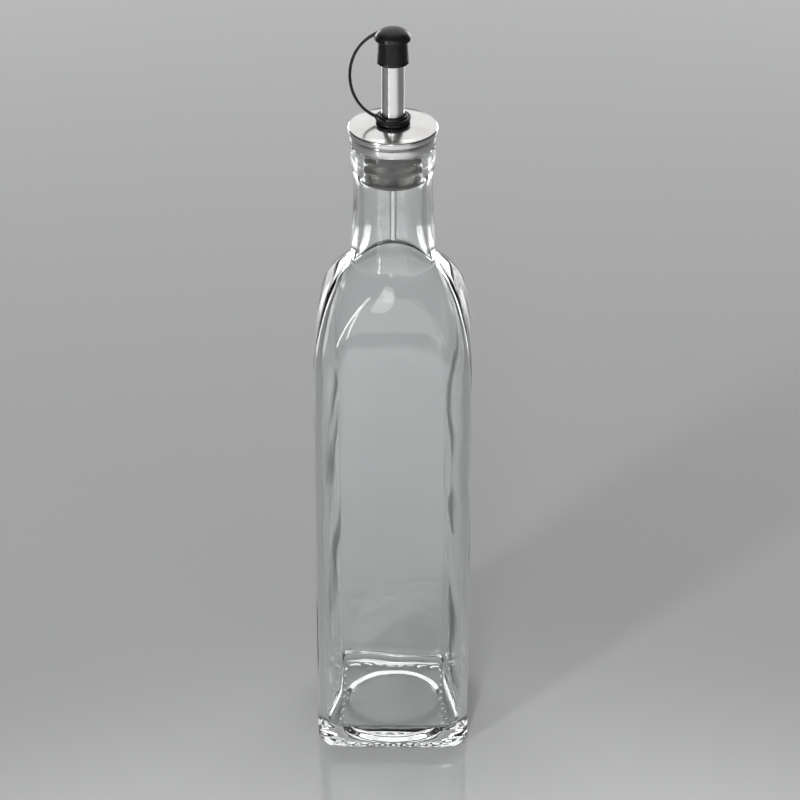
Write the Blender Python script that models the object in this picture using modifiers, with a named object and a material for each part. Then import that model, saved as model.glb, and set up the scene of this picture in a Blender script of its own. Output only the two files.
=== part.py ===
"""Oil cruet: a tall square glass bottle with a stainless pourer and a rubber cap on a strap.

Metres, +Z up. The origin is the centre of the base, on the surface that the bottle stands on. The
flat sides face X and Y, and the strap of the cap loops out towards -X.
"""

import math

import bmesh
import bpy

MM = 0.001
GAP = 0.3 * MM
WELD = 0.001 * MM
SMOOTH_ANGLE = math.radians(40)

# Bottle, outside
BODY_HALF = 29.0 * MM
BODY_CORNER = 9.5 * MM
SHOULDER_Z = 160.8 * MM
SHOULDER_RISE = 40.7 * MM
SHOULDER_RUN = 24.0 * MM
SHOULDER_POWER = 2.43
CORNER_GROWTH = 2.3
JUNCTION_Z = 199.6 * MM
NECK_RADIUS = 14.25 * MM
NECK_FLARE = 1.4 * MM
FLARE_POWER = 1.6
NECK_TOP_Z = 232.5 * MM
RING_RADIUS = 15.3 * MM
RING_BOTTOM_Z = 236.8 * MM
RING_TOP_Z = 245.2 * MM
RIM_RADIUS = 14.7 * MM
RIM_Z = 249.0 * MM
RIM_EDGE = 0.9 * MM
HEEL_RADIUS = 2.6 * MM
PUSH_UP_RADIUS = 19.5 * MM
PUSH_UP_DEPTH = 2.6 * MM

# Bottle, inside
WALL = 2.9 * MM
BORE_RADIUS = 10.8 * MM
INNER_SHOULDER_Z = 160.0 * MM
INNER_RISE = 39.5 * MM
INNER_RUN = 22.0 * MM
FLOOR_Z = 7.0 * MM
INNER_HEEL = 6.0 * MM
FLOOR_BUMP = 1.0 * MM

# Number of sides round the bottle: flat and corner steps on each eighth of the outline
FLAT_STEPS = 2
CORNER_STEPS = 4
SHOULDER_STEPS = 10

# Steel cover over the mouth
COVER_TOP_Z = 253.3 * MM
COVER_DROP = 1.35 * MM
COVER_EDGE_RADIUS = 15.4 * MM
COVER_RADIUS = 16.2 * MM
COVER_POWER = 3.5
COVER_SKIRT_RADIUS = 15.5 * MM
COVER_SKIRT_Z = 245.5 * MM
COVER_GROOVE_Z = 249.3 * MM
COVER_SHEET = 0.5 * MM
BEAD_ROLL = 0.8 * MM

# Spout and vent tubes
SPOUT_RADIUS = 4.15 * MM
SPOUT_BORE = 3.65 * MM
SPOUT_BOTTOM_Z = 238.3 * MM
SPOUT_TOP_Z = 283.6 * MM
VENT_RADIUS = 1.35 * MM
VENT_BORE = 0.95 * MM
VENT_BOTTOM_Z = 207.4 * MM

# Ribbed plug in the neck
PLUG_FLANGE_RADIUS = 14.6 * MM
PLUG_FLANGE_TOP_Z = 251.3 * MM
PLUG_BODY_RADIUS = 8.6 * MM
PLUG_BOTTOM_Z = 230.6 * MM
RIB_RADIUS = BORE_RADIUS - GAP
RIB_COUNT = 4
RIB_PITCH = 4.0 * MM
RIB_LOWEST_Z = 232.5 * MM
RIB_ROOT = 1.0 * MM
RIB_TIP = 0.35 * MM

# Rubber moulding: collar, strap and cap in one piece
COLLAR_RADIUS = 6.5 * MM
COLLAR_WAIST = 6.0 * MM
COLLAR_FOOT = 6.2 * MM
COLLAR_BOTTOM_Z = COVER_TOP_Z + GAP
COLLAR_TOP_Z = 255.5 * MM
COLLAR_LIP_Z = 256.2 * MM
HOOD_RADIUS = 6.55 * MM
HOOD_APEX_Z = 289.2 * MM
HOOD_RIM_TOP_Z = 287.1 * MM
HOOD_RIM_BOTTOM_Z = 286.0 * MM
SLEEVE_TOP_RADIUS = 5.3 * MM
SLEEVE_RADIUS = 5.5 * MM
SLEEVE_LIP_RADIUS = 5.7 * MM
SLEEVE_BOTTOM_Z = 276.7 * MM
STRAP_RADIUS = 0.43 * MM
STRAP_CENTRE_X = -1.6 * MM
STRAP_CENTRE_Z = 271.3 * MM
STRAP_REACH = 13.7 * MM
STRAP_RISE = 17.1 * MM
STRAP_LEAN = 2.2 * MM
STRAP_END_ANGLE = 75.0
STRAP_POINTS = 25


def clear_scene():
    for item in list(bpy.data.objects):
        bpy.data.objects.remove(item, do_unlink=True)


def new_collection(name):
    collection = bpy.data.collections.new(name)
    bpy.context.scene.collection.children.link(collection)
    return collection


def new_material(name, colour, roughness, metallic=0.0, transmission=0.0, ior=1.5):
    material = bpy.data.materials.new(name)
    material.use_nodes = True
    shader = material.node_tree.nodes["Principled BSDF"]
    shader.inputs["Base Color"].default_value = (*colour, 1.0)
    shader.inputs["Roughness"].default_value = roughness
    shader.inputs["Metallic"].default_value = metallic
    shader.inputs["Transmission Weight"].default_value = transmission
    shader.inputs["IOR"].default_value = ior
    return material


def arc(centre_r, centre_z, radius, start, end, steps):
    """Points of an arc in the (r, z) plane, angles in degrees from +r towards +z."""
    points = []
    for i in range(steps + 1):
        angle = math.radians(start + (end - start) * i / steps)
        points.append(
            (centre_r + radius * math.cos(angle), centre_z + radius * math.sin(angle))
        )
    return points


# Square to round sections


def eighth_angles():
    """Polar angles of the outline's points on its first eighth, for the body's own section."""
    flat = BODY_HALF - BODY_CORNER
    angles = [math.atan2(flat * i / FLAT_STEPS, BODY_HALF) for i in range(FLAT_STEPS)]
    for i in range(CORNER_STEPS + 1):
        turn = math.radians(45.0 * i / CORNER_STEPS)
        x = flat + BODY_CORNER * math.cos(turn)
        y = flat + BODY_CORNER * math.sin(turn)
        angles.append(math.atan2(y, x))
    return angles


def section_angles(roundness):
    """Polar angles all round: the body's at roundness 0, evenly spaced on a circle at 1."""
    first = eighth_angles()
    quarter = first + [math.pi / 2 - a for a in reversed(first[1:-1])]
    points = []
    for side in range(4):
        for i, angle in enumerate(quarter):
            even = math.pi / 2 * i / len(quarter)
            points.append(
                side * math.pi / 2 + angle * (1 - roundness) + even * roundness
            )
    return points


def outline_distance(half, corner, angle):
    """Distance from the axis to a rounded square at a polar angle."""
    angle = angle % (math.pi / 2)
    cos, sin = math.cos(angle), math.sin(angle)
    flat = half - corner
    if half * sin <= flat * cos:
        return half / cos
    if half * cos <= flat * sin:
        return half / sin
    return flat * (cos + sin) + math.sqrt(corner**2 - (flat * (cos - sin)) ** 2)


def section_points(half, corner, z):
    body = BODY_CORNER / BODY_HALF
    roundness = min(1.0, max(0.0, (corner / half - body) / (1 - body)))
    points = []
    for angle in section_angles(roundness):
        distance = outline_distance(half, corner, angle)
        points.append((distance * math.cos(angle), distance * math.sin(angle), z))
    return points


def shoulder_half(z, start_half, start_z, rise, run):
    """Half width on the shoulder's curve, which leaves the body upright."""
    u = min(1.0, max(0.0, (z - start_z) / rise))
    return start_half - run * (
        1 - (1 - u**SHOULDER_POWER) ** (1 / SHOULDER_POWER)
    )


def shoulder_height(half, start_half, start_z, rise, run):
    """Height at which the shoulder's curve has this half width."""
    level = 1 - (start_half - half) / run
    return start_z + rise * (1 - level**SHOULDER_POWER) ** (1 / SHOULDER_POWER)


def shoulder_corner(half, z, start_z):
    """Corner radius on the shoulder: it grows until the section is a circle at the neck."""
    part = min(1.0, max(0.0, (z - start_z) / (JUNCTION_Z - start_z)))
    square = BODY_CORNER / BODY_HALF
    return half * (square + (1 - square) * part**CORNER_GROWTH)


def neck_radius(z):
    part = (NECK_TOP_Z - z) / (NECK_TOP_Z - JUNCTION_Z)
    return NECK_RADIUS + NECK_FLARE * max(0.0, part) ** FLARE_POWER


def shoulder_rings(start_half, start_z, rise, run, end_radius):
    """(half, corner, z) up a shoulder, from the body to the neck's radius, closer near its end."""
    end_z = shoulder_height(end_radius, start_half, start_z, rise, run)
    rings = []
    for i in range(SHOULDER_STEPS + 1):
        part = math.sin(math.pi / 2 * i / SHOULDER_STEPS)
        z = start_z + (end_z - start_z) * part
        half = shoulder_half(z, start_half, start_z, rise, run)
        rings.append((half, min(half, shoulder_corner(half, z, start_z)), z))
    half, corner, z = rings[-1]
    rings[-1] = (half, half, z)
    return rings


def circle_ring(radius, z):
    return (radius, radius, z)


def outer_rings():
    """Sections from the centre of the base, out and up to the rim."""
    rings = []
    for part in (0.35, 0.7, 0.9):
        height = PUSH_UP_DEPTH * (1 - part**2)
        rings.append(circle_ring(PUSH_UP_RADIUS * part, height))
    rings.append(circle_ring(PUSH_UP_RADIUS, 0.0))
    heel = arc(BODY_HALF - HEEL_RADIUS, HEEL_RADIUS, HEEL_RADIUS, -90, 0, 4)
    for half, z in heel:
        rings.append((half, BODY_CORNER - (BODY_HALF - half), z))
    rings += shoulder_rings(
        BODY_HALF, SHOULDER_Z, SHOULDER_RISE, SHOULDER_RUN, neck_radius(JUNCTION_Z)
    )
    for part in (0.06, 0.3, 0.6, 1.0):
        z = JUNCTION_Z + (NECK_TOP_Z - JUNCTION_Z) * part
        rings.append(circle_ring(neck_radius(z), z))
    ring_edge = 0.6 * MM
    rings.append(circle_ring(RING_RADIUS - 0.25 * MM, RING_BOTTOM_Z - 1.2 * MM))
    rings.append(circle_ring(RING_RADIUS, RING_BOTTOM_Z))
    rings.append(circle_ring(RING_RADIUS, RING_TOP_Z - ring_edge))
    rings.append(circle_ring(RIM_RADIUS, RING_TOP_Z))
    rim = arc(RIM_RADIUS - RIM_EDGE, RIM_Z - RIM_EDGE, RIM_EDGE, 0, 90, 2)
    rings += [circle_ring(r, z) for r, z in rim]
    return rings


def inner_rings():
    """Sections from the rim's inner edge, down the bore to the middle of the floor."""
    inner_half = BODY_HALF - WALL
    inner_corner = inner_half * BODY_CORNER / BODY_HALF
    rings = [
        circle_ring(BORE_RADIUS + RIM_EDGE, RIM_Z),
        circle_ring(BORE_RADIUS, RIM_Z - RIM_EDGE),
    ]
    shoulder = shoulder_rings(
        inner_half, INNER_SHOULDER_Z, INNER_RISE, INNER_RUN, BORE_RADIUS
    )
    rings += reversed(shoulder)
    heel = arc(inner_half - INNER_HEEL, FLOOR_Z + INNER_HEEL, INNER_HEEL, 0, -90, 5)
    for half, z in heel:
        corner = max(0.25 * inner_corner, inner_corner - (inner_half - half))
        rings.append((half, corner, z))
    for part in (0.8, 0.4):
        height = FLOOR_Z + FLOOR_BUMP * (1 - part**2)
        rings.append(circle_ring(PUSH_UP_RADIUS * part, height))
    return rings


def build_bottle():
    """The glass: one skin from the base's centre, up outside, over the rim and down inside."""
    shape = bmesh.new()
    centre = shape.verts.new((0.0, 0.0, PUSH_UP_DEPTH))
    loops = []
    for half, corner, z in outer_rings() + inner_rings():
        points = section_points(half, corner, z)
        loops.append([shape.verts.new(point) for point in points])
    floor = shape.verts.new((0.0, 0.0, FLOOR_Z + FLOOR_BUMP))
    count = len(loops[0])
    for i in range(count):
        j = (i + 1) % count
        shape.faces.new((centre, loops[0][j], loops[0][i]))
        shape.faces.new((floor, loops[-1][i], loops[-1][j]))
        for low, high in zip(loops, loops[1:]):
            shape.faces.new((low[i], low[j], high[j], high[i]))
    bmesh.ops.recalc_face_normals(shape, faces=shape.faces)
    mesh = bpy.data.meshes.new("bottle")
    shape.to_mesh(mesh)
    shape.free()
    mesh.shade_smooth()
    mesh.set_sharp_from_angle(angle=SMOOTH_ANGLE)
    return bpy.data.objects.new("bottle", mesh)


# Turned pieces


def turned(name, profile, steps, closed=True):
    """A profile of (r, z) points, down its outer side, turned about Z."""
    mesh = bpy.data.meshes.new(name)
    edges = [(i, i + 1) for i in range(len(profile) - 1)]
    if closed:
        edges.append((len(profile) - 1, 0))
    mesh.from_pydata([(r, 0.0, z) for r, z in profile], edges, [])
    item = bpy.data.objects.new(name, mesh)
    screw = item.modifiers.new("turn", "SCREW")
    screw.steps = steps
    screw.render_steps = steps
    screw.use_merge_vertices = True
    screw.merge_threshold = WELD
    screw.use_smooth_shade = True
    return item


def cover_height(radius):
    """Top of the cover: flat in the middle, falling away towards the bead."""
    return COVER_TOP_Z - COVER_DROP * (radius / COVER_EDGE_RADIUS) ** COVER_POWER


def build_cover():
    """Pressed steel cover: shallow dome, rolled bead, groove and skirt."""
    hole = SPOUT_RADIUS + GAP
    radii = (hole, 8.0 * MM, 11.0 * MM, 13.2 * MM, 14.6 * MM)
    top = [(r, cover_height(r)) for r in radii]
    roll_r = COVER_RADIUS - BEAD_ROLL
    roll_top_z = cover_height(roll_r) - BEAD_ROLL
    roll_bottom_z = COVER_GROOVE_Z + BEAD_ROLL
    bead = arc(roll_r, roll_top_z, BEAD_ROLL, 75, 0, 3)
    bead += arc(roll_r, roll_bottom_z, BEAD_ROLL, 0, -75, 3)
    groove = COVER_SKIRT_RADIUS - 0.12 * MM
    skirt = [
        (groove, COVER_GROOVE_Z - 0.15 * MM),
        (COVER_SKIRT_RADIUS, COVER_GROOVE_Z - 0.5 * MM),
        (COVER_SKIRT_RADIUS, COVER_SKIRT_Z),
        (COVER_SKIRT_RADIUS - COVER_SHEET, COVER_SKIRT_Z),
    ]
    inside = COVER_SKIRT_RADIUS - COVER_SHEET
    under = [(inside, cover_height(inside) - 2 * COVER_SHEET)]
    under += [(r, cover_height(r) - COVER_SHEET) for r in reversed(radii)]
    return turned("steel_cover", top + bead + skirt + under, 40)


def build_plug():
    """Clear plug: a flange on the rim and sealing ribs down the bore."""
    flange_bottom = RIM_Z + GAP
    profile = [
        (SPOUT_RADIUS + GAP, PLUG_FLANGE_TOP_Z),
        (PLUG_FLANGE_RADIUS, PLUG_FLANGE_TOP_Z),
        (PLUG_FLANGE_RADIUS, flange_bottom),
        (PLUG_BODY_RADIUS, flange_bottom),
    ]
    for i in reversed(range(RIB_COUNT)):
        z = RIB_LOWEST_Z + RIB_PITCH * i
        profile += [
            (PLUG_BODY_RADIUS, z + RIB_ROOT),
            (RIB_RADIUS, z + RIB_TIP),
            (RIB_RADIUS, z - RIB_TIP),
            (PLUG_BODY_RADIUS, z - RIB_ROOT),
        ]
    profile += [
        (PLUG_BODY_RADIUS - 0.6 * MM, PLUG_BOTTOM_Z),
        (VENT_RADIUS + GAP, PLUG_BOTTOM_Z),
        (VENT_RADIUS + GAP, SPOUT_BOTTOM_Z - GAP),
        (SPOUT_RADIUS + GAP, SPOUT_BOTTOM_Z - GAP),
    ]
    return turned("plug", profile, 36)


def build_tube(name, radius, bore, bottom, top, steps):
    profile = [(bore, top), (radius, top), (radius, bottom), (bore, bottom)]
    return turned(name, profile, steps)


def build_collar():
    """Ring round the foot of the spout, with a waist and a raised lip."""
    bore = SPOUT_RADIUS + GAP
    profile = [
        (bore, COLLAR_LIP_Z),
        (bore + 0.55 * MM, COLLAR_LIP_Z),
        (bore + 0.85 * MM, COLLAR_TOP_Z - 0.05 * MM),
        (COLLAR_RADIUS - 0.3 * MM, COLLAR_TOP_Z),
        (COLLAR_RADIUS, COLLAR_TOP_Z - 0.25 * MM),
        (COLLAR_RADIUS, COLLAR_TOP_Z - 0.75 * MM),
        (COLLAR_WAIST, COLLAR_TOP_Z - 1.15 * MM),
        (COLLAR_FOOT, COLLAR_BOTTOM_Z),
        (bore, COLLAR_BOTTOM_Z),
    ]
    return turned("collar_form", profile, 32)


def build_cap_form():
    """Cap: shallow cone hood over a sleeve, with a blind bore for the spout's end."""
    bore = SPOUT_RADIUS + GAP
    rim_mid = (HOOD_RIM_TOP_Z + HOOD_RIM_BOTTOM_Z) / 2
    profile = [
        (0.0, HOOD_APEX_Z),
        (0.5 * HOOD_RADIUS, HOOD_APEX_Z - 0.95 * MM),
        (HOOD_RADIUS - 0.25 * MM, HOOD_RIM_TOP_Z),
        (HOOD_RADIUS, rim_mid),
        (HOOD_RADIUS - 0.25 * MM, HOOD_RIM_BOTTOM_Z),
        (SLEEVE_TOP_RADIUS, HOOD_RIM_BOTTOM_Z - 0.1 * MM),
        (SLEEVE_RADIUS, SLEEVE_BOTTOM_Z + 1.0 * MM),
        (SLEEVE_LIP_RADIUS, SLEEVE_BOTTOM_Z + 0.5 * MM),
        (SLEEVE_LIP_RADIUS - 0.1 * MM, SLEEVE_BOTTOM_Z),
        (bore + 0.15 * MM, SLEEVE_BOTTOM_Z),
        (bore, SLEEVE_BOTTOM_Z + 0.3 * MM),
        (bore, SPOUT_TOP_Z + GAP),
        (0.0, SPOUT_TOP_Z + GAP),
    ]
    return turned("cap_form", profile, 32, closed=False)


def strap_point(angle):
    """A point of the strap's oval, angle in degrees from its outermost point upwards."""
    turn = math.radians(angle)
    y = STRAP_LEAN * (1 + math.sin(turn)) / 2
    x = STRAP_CENTRE_X - STRAP_REACH * math.cos(turn)
    z = STRAP_CENTRE_Z + STRAP_RISE * math.sin(turn) - y / 2
    return (x, y, z)


def build_strap_form():
    """Round strap from the collar to the hood, thicker where it joins them."""
    curve = bpy.data.curves.new("strap_form", "CURVE")
    curve.dimensions = "3D"
    curve.bevel_depth = STRAP_RADIUS
    curve.bevel_resolution = 2
    curve.use_fill_caps = True
    spline = curve.splines.new("POLY")
    spline.points.add(STRAP_POINTS - 1)
    for i in range(STRAP_POINTS):
        part = 2 * i / (STRAP_POINTS - 1) - 1
        point = spline.points[i]
        point.co = (*strap_point(STRAP_END_ANGLE * part), 1.0)
        point.radius = 1 + 0.6 * abs(part) ** 10
    return bpy.data.objects.new("strap_form", curve)


def as_mesh(item, name):
    """A mesh object of what a curve or a modified object evaluates to, its caps welded."""
    bpy.context.view_layer.update()
    graph = bpy.context.evaluated_depsgraph_get()
    mesh = bpy.data.meshes.new_from_object(item.evaluated_get(graph))
    shape = bmesh.new()
    shape.from_mesh(mesh)
    bmesh.ops.remove_doubles(shape, verts=shape.verts, dist=WELD)
    shape.to_mesh(mesh)
    shape.free()
    made = bpy.data.objects.new(name, mesh)
    made.matrix_world = item.matrix_world
    return made


def build_rubber(parts):
    """The one-piece moulding: the collar, the strap and the cap joined by a union."""
    forms = [build_collar(), build_strap_form(), build_cap_form()]
    solids = []
    for form in forms:
        parts.objects.link(form)
        solids.append(as_mesh(form, form.name + "_solid"))
        bpy.data.objects.remove(form, do_unlink=True)
    whole, others = solids[0], solids[1:]
    whole.name = "rubber_cap"
    parts.objects.link(whole)
    for other in others:
        parts.objects.link(other)
        union = whole.modifiers.new("join", "BOOLEAN")
        union.operation = "UNION"
        union.solver = "EXACT"
        union.object = other
        bpy.context.view_layer.update()
        graph = bpy.context.evaluated_depsgraph_get()
        joined = bpy.data.meshes.new_from_object(whole.evaluated_get(graph))
        whole.modifiers.clear()
        whole.data = joined
        bpy.data.objects.remove(other, do_unlink=True)
    whole.data.name = "rubber_cap"
    whole.data.shade_smooth()
    whole.data.set_sharp_from_angle(angle=SMOOTH_ANGLE)
    return whole


def place(item, collection, root, material):
    if item.name not in collection.objects:
        collection.objects.link(item)
    item.parent = root
    item.data.materials.clear()
    item.data.materials.append(material)


def main():
    clear_scene()
    parts = new_collection("oil_cruet")
    root = bpy.data.objects.new("oil_cruet_root", None)
    parts.objects.link(root)

    glass = new_material("clear_glass", (0.95, 0.97, 0.96), 0.02, 0.0, 1.0, 1.52)
    steel = new_material("polished_steel", (0.68, 0.67, 0.65), 0.16, 1.0)
    plastic = new_material("clear_plastic", (0.90, 0.90, 0.88), 0.12, 0.0, 1.0, 1.49)
    rubber = new_material("black_rubber", (0.018, 0.018, 0.019), 0.45)

    spout = build_tube(
        "spout_tube", SPOUT_RADIUS, SPOUT_BORE, SPOUT_BOTTOM_Z, SPOUT_TOP_Z, 32
    )
    vent_top = SPOUT_BOTTOM_Z - GAP
    vent = build_tube("vent_tube", VENT_RADIUS, VENT_BORE, VENT_BOTTOM_Z, vent_top, 16)

    place(build_bottle(), parts, root, glass)
    place(build_plug(), parts, root, plastic)
    place(build_cover(), parts, root, steel)
    place(spout, parts, root, steel)
    place(vent, parts, root, steel)
    place(build_rubber(parts), parts, root, rubber)


main()
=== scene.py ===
"""Looks of the oil cruet: fine glass, pressed steel, clear plastic and satin rubber.

Metres, +Z up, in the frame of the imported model: the centre of the base is the origin, and the strap
of the cap loops out towards -X.
"""

import math

import bmesh
import bpy
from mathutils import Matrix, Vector, noise


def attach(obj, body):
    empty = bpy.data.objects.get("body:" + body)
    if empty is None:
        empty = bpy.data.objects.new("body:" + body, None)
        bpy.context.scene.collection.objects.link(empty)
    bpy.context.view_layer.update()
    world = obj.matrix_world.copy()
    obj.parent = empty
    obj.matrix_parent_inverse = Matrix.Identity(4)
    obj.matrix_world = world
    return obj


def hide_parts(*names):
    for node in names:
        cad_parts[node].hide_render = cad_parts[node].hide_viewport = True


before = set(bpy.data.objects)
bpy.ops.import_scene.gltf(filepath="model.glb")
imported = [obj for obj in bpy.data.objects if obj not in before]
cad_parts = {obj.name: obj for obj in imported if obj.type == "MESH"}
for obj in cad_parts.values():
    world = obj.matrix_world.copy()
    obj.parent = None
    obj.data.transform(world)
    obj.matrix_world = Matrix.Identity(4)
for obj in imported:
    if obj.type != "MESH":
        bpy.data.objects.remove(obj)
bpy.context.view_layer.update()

MM = 0.001

# Clearance between pieces that touch on the real object
GAP = 0.3 * MM

# Points closer than this are one point
WELD = 0.001 * MM

# Bottle, outside
BODY_HALF = 29.0 * MM
BODY_CORNER = 9.5 * MM
SHOULDER_Z = 160.8 * MM
SHOULDER_RISE = 40.7 * MM
SHOULDER_RUN = 24.0 * MM
SHOULDER_POWER = 2.43
CORNER_GROWTH = 2.3
JUNCTION_Z = 199.6 * MM
NECK_RADIUS = 14.25 * MM
NECK_FLARE = 1.4 * MM
FLARE_POWER = 1.6
NECK_TOP_Z = 232.5 * MM
RING_RADIUS = 15.3 * MM
RING_BOTTOM_Z = 236.8 * MM
RING_TOP_Z = 245.2 * MM
RING_EDGE = 0.7 * MM
RIM_RADIUS = 14.7 * MM
RIM_Z = 249.0 * MM
RIM_EDGE = 0.9 * MM

# Past its end the shoulder's curve runs on this steeply, inside the neck
SHOULDER_END_SLOPE = 4.0

# Underside of the bottle: a flat hollow with a curved edge, and the surface that it stands on
HEEL_RADIUS = 2.6 * MM
PUSH_UP_RADIUS = 20.6 * MM
PUSH_UP_FLAT = 16.8 * MM
PUSH_UP_DEPTH = 1.2 * MM
BEARING_HOLLOW = 0.35 * MM
BEARING_CORNER_POWER = 0.6

# Bottle, inside
WALL = 2.9 * MM
BORE_RADIUS = 10.8 * MM
BORE_EDGE = 0.3 * RIM_EDGE
INNER_SHOULDER_Z = 160.0 * MM
INNER_RISE = 39.5 * MM
INNER_RUN = 22.0 * MM
INNER_HEEL = 3.0 * MM

# Flare of the bore: its size at the junction with the shoulder, the height where it starts, and
# where it ends, as a share of the way from there to the junction
BORE_FLARE = 2.4 * MM
BORE_FLARE_POWER = 3
BORE_FLARE_Z = 222.0 * MM
BORE_FLARE_END = 1.35

# Floor inside: a level ledge round it, a very low step down, and a slight rise to the middle
LEDGE_Z = 8.2 * MM
LEDGE_CORNER = 12.0 * MM
STEP_TOP_RADIUS = 20.9 * MM
STEP_FOOT_RADIUS = 18.9 * MM
FLOOR_Z = 8.1 * MM
FLOOR_BUMP = 0.1 * MM

# Fillets where the shoulder meets the neck, and how far the fine sections reach round that place
OUTER_FILLET = 4.5 * MM
INNER_FILLET = 6.0 * MM
FOOT_BELOW = 6.0 * MM
FOOT_ABOVE = 8.0 * MM

# Points of the glass on each eighth of its outline, and its sections along the shoulder
FLAT_STEPS = 18
CORNER_STEPS = 20
SHOULDER_STEPS = 30
FOOT_STEPS = 32

# Shares of their radius where the sections next to the centre of the base and of the floor lie
PUSH_UP_FIRST = 0.1
FLOOR_LAST = 0.08

# Unevenness of the glass: how far each surface swings, and how long its waves are
OUTER_WAVE = 0.05 * MM
OUTER_WAVE_LENGTH = 38.0 * MM
INNER_WAVE = 0.55 * MM
INNER_WAVE_LENGTH = 30.0 * MM
INNER_RIPPLE = 0.22 * MM
INNER_RIPPLE_LENGTH = 13.0 * MM

# Share of the inner waves that is left at the floor and in the neck
INNER_WAVE_LEAST = 0.15

# The inner waves are longer upwards than around, because their heights are scaled by this
INNER_WAVE_LIFT = 0.8

# Where in the noise each of the waves is read
OUTER_WAVE_PLACE = (3.1, 7.7, 1.9)
INNER_WAVE_PLACE = (11.3, 2.4, 5.2)
INNER_RIPPLE_PLACE = (1.7, 9.1, 4.4)

# How far the shoulder's corners are drawn in, so that its sides crown a little
SHOULDER_CROWN = 0.7 * MM

# Heights of the zones: nothing below the first, in full from the second to the third, nothing
# above the fourth
OUTER_WAVE_ZONE = (3.0 * MM, 12.0 * MM, 228.0 * MM, 233.0 * MM)
INNER_WAVE_ZONE = (4.0 * MM, 30.0 * MM, 190.0 * MM, 205.0 * MM)
CROWN_ZONE = (162.0 * MM, 176.0 * MM, 191.0 * MM, 199.0 * MM)

# Row of small grip ridges round the bearing surface: half width and corner of its middle line
KNURL_HALF = 21.9 * MM
KNURL_CORNER = 7.0 * MM
KNURL_WIDTH = 2.4 * MM
KNURL_PITCH = 4.5 * MM
KNURL_DEPTH = 0.6 * MM

# Mean distance of that row from the axis, over its half width
KNURL_MEAN = 1.12

# Steel cover
COVER_TOP_Z = 253.3 * MM
COVER_DROP = 1.35 * MM
COVER_EDGE_RADIUS = 15.4 * MM
COVER_RADIUS = 16.2 * MM
COVER_POWER = 3.5
COVER_SHEET = 0.5 * MM
COVER_BEND = 0.2 * MM
COVER_SKIRT_RADIUS = 15.5 * MM
COVER_SKIRT_Z = 245.5 * MM
COVER_SKIRT_EDGE = 0.1 * MM
COVER_SKIRT_EDGE_RISE = 0.15 * MM
BEAD_ROLL = 0.8 * MM
COVER_GROOVE_Z = 249.3 * MM
GROOVE_DEPTH = 0.12 * MM
GROOVE_TOP_DROP = 0.02 * MM
GROOVE_FOOT_DROP = 0.18 * MM
GROOVE_END_DROP = 0.45 * MM

# Spout and vent tubes
SPOUT_RADIUS = 4.15 * MM
SPOUT_BORE = 3.65 * MM
SPOUT_BOTTOM_Z = 238.3 * MM
SPOUT_TOP_Z = 283.6 * MM
VENT_RADIUS = 1.35 * MM
VENT_BORE = 0.95 * MM
VENT_BOTTOM_Z = 207.4 * MM
VENT_TOP_Z = SPOUT_BOTTOM_Z - GAP
TUBE_EDGE = 0.12 * MM

# Plug
PLUG_FLANGE_RADIUS = 14.6 * MM
PLUG_FLANGE_TOP_Z = 251.3 * MM
PLUG_BODY_RADIUS = 8.6 * MM
PLUG_BOTTOM_Z = 230.6 * MM
PLUG_CHAMFER = 0.6 * MM
RIB_RADIUS = BORE_RADIUS - GAP
RIB_COUNT = 4
RIB_PITCH = 4.0 * MM
RIB_LOWEST_Z = 232.5 * MM
RIB_ROOT = 1.0 * MM
RIB_TIP = 0.35 * MM

# Collar of the rubber moulding
COLLAR_RADIUS = 6.5 * MM
COLLAR_EDGE = 0.4 * MM
COLLAR_WAIST = 6.0 * MM
COLLAR_WAIST_DROP = 1.15 * MM
COLLAR_FOOT = 6.2 * MM
COLLAR_FOOT_RISE = 0.1 * MM
COLLAR_BOTTOM_Z = COVER_TOP_Z + GAP
COLLAR_TOP_Z = 255.5 * MM
COLLAR_LIP_Z = 256.2 * MM
COLLAR_LIP_EDGE = 0.3 * MM
COLLAR_LIP_MIDDLE = 0.35 * MM
COLLAR_LIP_BEVEL = 0.1 * MM
COLLAR_SEAT = 0.85 * MM
COLLAR_SEAT_DROP = 0.02 * MM

# Cap of the rubber moulding: its hood, then its sleeve
HOOD_RADIUS = 6.55 * MM
HOOD_APEX_Z = 289.2 * MM
HOOD_RIM_TOP_Z = 285.8 * MM
HOOD_RIM_BOTTOM_Z = 285.1 * MM
HOOD_INNER_POWER = 2.2
HOOD_OUTER_POWER = 0.66
HOOD_FIRST = 0.06
HOOD_LAST = 0.96
SLEEVE_TOP_RADIUS = 5.2 * MM
SLEEVE_ROOT_DROP = 0.1 * MM
SLEEVE_SWELL = 0.05 * MM
SLEEVE_SWELL_DROP = 0.6 * MM
SLEEVE_RADIUS = 5.65 * MM
SLEEVE_LIP_RISE = 1.3 * MM
SLEEVE_LIP_RADIUS = 5.85 * MM
SLEEVE_LIP_EDGE = 0.4 * MM
SLEEVE_BOTTOM_Z = 276.3 * MM
SLEEVE_MOUTH = 0.15 * MM
SLEEVE_MOUTH_RISE = 0.3 * MM

# Strap of the rubber moulding, an oval that leans back as it rises and thickens at both ends
STRAP_RADIUS = 0.55 * MM
STRAP_CENTRE_X = -1.6 * MM
STRAP_CENTRE_Z = 271.3 * MM
STRAP_REACH = 13.7 * MM
STRAP_RISE = 16.8 * MM
STRAP_LEAN = 2.2 * MM
STRAP_END_ANGLE = 75.0
STRAP_AHEAD_ANGLE = 0.5
STRAP_END_GROWTH = 0.6
STRAP_END_POWER = 10
STRAP_POINTS = 61
STRAP_SIDES = 20

# Steps round the turned pieces
COVER_STEPS = 128
TURNED_STEPS = 96

# Edges sharper than these angles, in degrees, stay sharp
GLASS_SHARP = 50
COVER_SHARP = 50
PLUG_SHARP = 40
TUBE_SHARP = 30
RUBBER_SHARP = 35

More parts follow.
